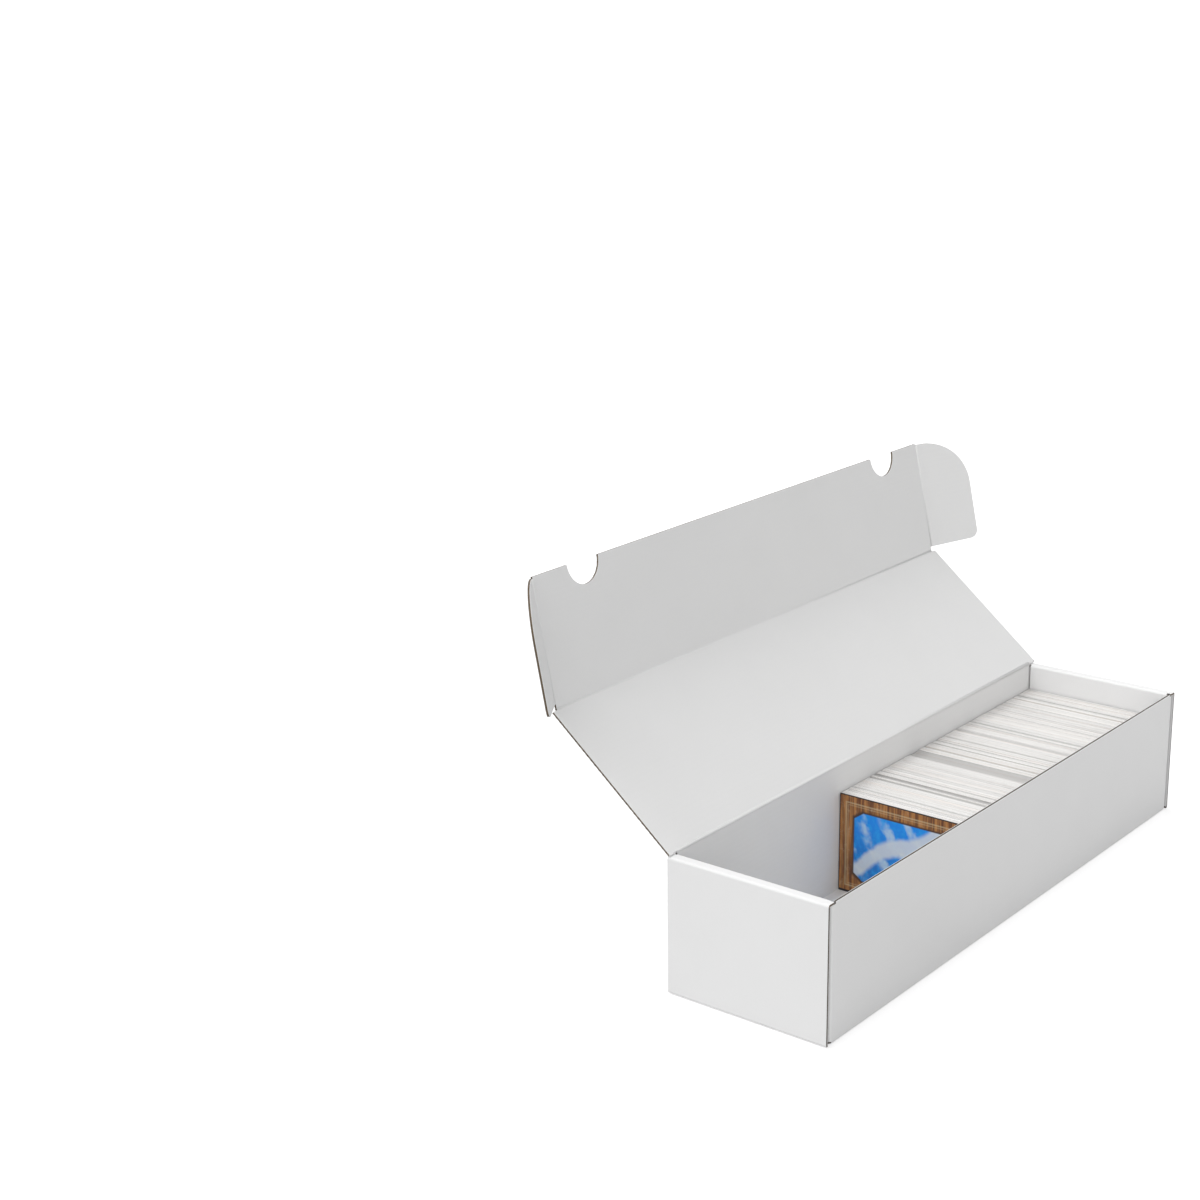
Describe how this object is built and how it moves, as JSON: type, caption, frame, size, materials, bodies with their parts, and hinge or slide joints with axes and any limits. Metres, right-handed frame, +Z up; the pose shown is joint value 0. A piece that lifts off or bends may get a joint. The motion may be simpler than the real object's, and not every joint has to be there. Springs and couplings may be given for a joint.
{
  "type": "trading card storage box",
  "caption": "Long white corrugated card box with rolled ends, a hinged lid, a front flap with thumb notches, tuck ears and a row of cards.",
  "frame": {"origin": "centre of the underside of the tray's bottom panel", "axes": "+X along the box to the right-hand end, front wall at -Y, lid hinge at +Y, +Z up"},
  "size_m": [0.4688, 0.2008, 0.2231],
  "materials": {
    "white_outer_liner": "smooth white",
    "white_inner_liner": "matte white",
    "kraft_medium": "raw kraft",
    "card_stock": "cut edges of coated card",
    "card_face": "coated print"
  },
  "bodies": {
    "tray": {"bottom_outer_liner": "white_outer_liner", "bottom_medium": "kraft_medium", "bottom_inner_liner": "white_inner_liner", "front_wall_outer_liner": "white_outer_liner", "front_wall_medium": "kraft_medium", "front_wall_inner_liner": "white_inner_liner", "back_wall_outer_liner": "white_outer_liner", "back_wall_medium": "kraft_medium", "back_wall_inner_liner": "white_inner_liner", "end_outer_left_outer_liner": "white_outer_liner", "end_outer_left_medium": "kraft_medium", "end_outer_left_inner_liner": "white_inner_liner", "end_spine_left_outer_liner": "white_outer_liner", "end_spine_left_medium": "kraft_medium", "end_spine_left_inner_liner": "white_inner_liner", "end_inner_left_outer_liner": "white_outer_liner", "end_inner_left_medium": "kraft_medium", "end_inner_left_inner_liner": "white_inner_liner", "front_tab_left_outer_liner": "white_outer_liner", "front_tab_left_medium": "kraft_medium", "front_tab_left_inner_liner": "white_inner_liner", "back_tab_left_outer_liner": "white_outer_liner", "back_tab_left_medium": "kraft_medium", "back_tab_left_inner_liner": "white_inner_liner", "end_outer_right_outer_liner": "white_outer_liner", "end_outer_right_medium": "kraft_medium", "end_outer_right_inner_liner": "white_inner_liner", "end_spine_right_outer_liner": "white_outer_liner", "end_spine_right_medium": "kraft_medium", "end_spine_right_inner_liner": "white_inner_liner", "end_inner_right_outer_liner": "white_outer_liner", "end_inner_right_medium": "kraft_medium", "end_inner_right_inner_liner": "white_inner_liner", "front_tab_right_outer_liner": "white_outer_liner", "front_tab_right_medium": "kraft_medium", "front_tab_right_inner_liner": "white_inner_liner", "back_tab_right_outer_liner": "white_outer_liner", "back_tab_right_medium": "kraft_medium", "back_tab_right_inner_liner": "white_inner_liner"},
    "lid": {"lid_outer_liner": "white_outer_liner", "lid_medium": "kraft_medium", "lid_inner_liner": "white_inner_liner"},
    "front_flap": {"front_flap_outer_liner": "white_outer_liner", "front_flap_medium": "kraft_medium", "front_flap_inner_liner": "white_inner_liner"},
    "ear_left": {"ear_left_outer_liner": "white_outer_liner", "ear_left_medium": "kraft_medium", "ear_left_inner_liner": "white_inner_liner"},
    "ear_right": {"ear_right_outer_liner": "white_outer_liner", "ear_right_medium": "kraft_medium", "ear_right_inner_liner": "white_inner_liner"},
    "cards": {"card_pack_1": "card_stock", "card_pack_2": "card_stock", "card_pack_3": "card_stock", "card_pack_4": "card_stock", "card_pack_5": "card_stock", "card_pack_6": "card_stock", "front_card": "card_face"}
  },
  "joints": [
    {"name": "lid_hinge", "type": "hinge", "parent": "tray", "child": "lid", "pos_m": [0, 0.0512, 0.083], "axis": [-1, 0, 0], "range_deg": [-141, 39]},
    {"name": "flap_fold", "type": "hinge", "parent": "lid", "child": "front_flap", "pos_m": [0, 0.13226, 0.14864], "axis": [-1, 0, 0], "range_deg": [-51, 39]},
    {"name": "ear_left_fold", "type": "hinge", "parent": "front_flap", "child": "ear_left", "pos_m": [-0.2048, 0.13226, 0.14864], "axis": [0, -0.2079, -0.9781], "range_deg": [-54, 36]},
    {"name": "ear_right_fold", "type": "hinge", "parent": "front_flap", "child": "ear_right", "pos_m": [0.2048, 0.13226, 0.14864], "axis": [0, 0.2079, 0.9781], "range_deg": [-54, 36]},
    {"name": "cards_slide", "type": "slide", "parent": "tray", "child": "cards", "axis": [1, 0, 0], "range_m": [-0.16282, 0]}
  ]
}
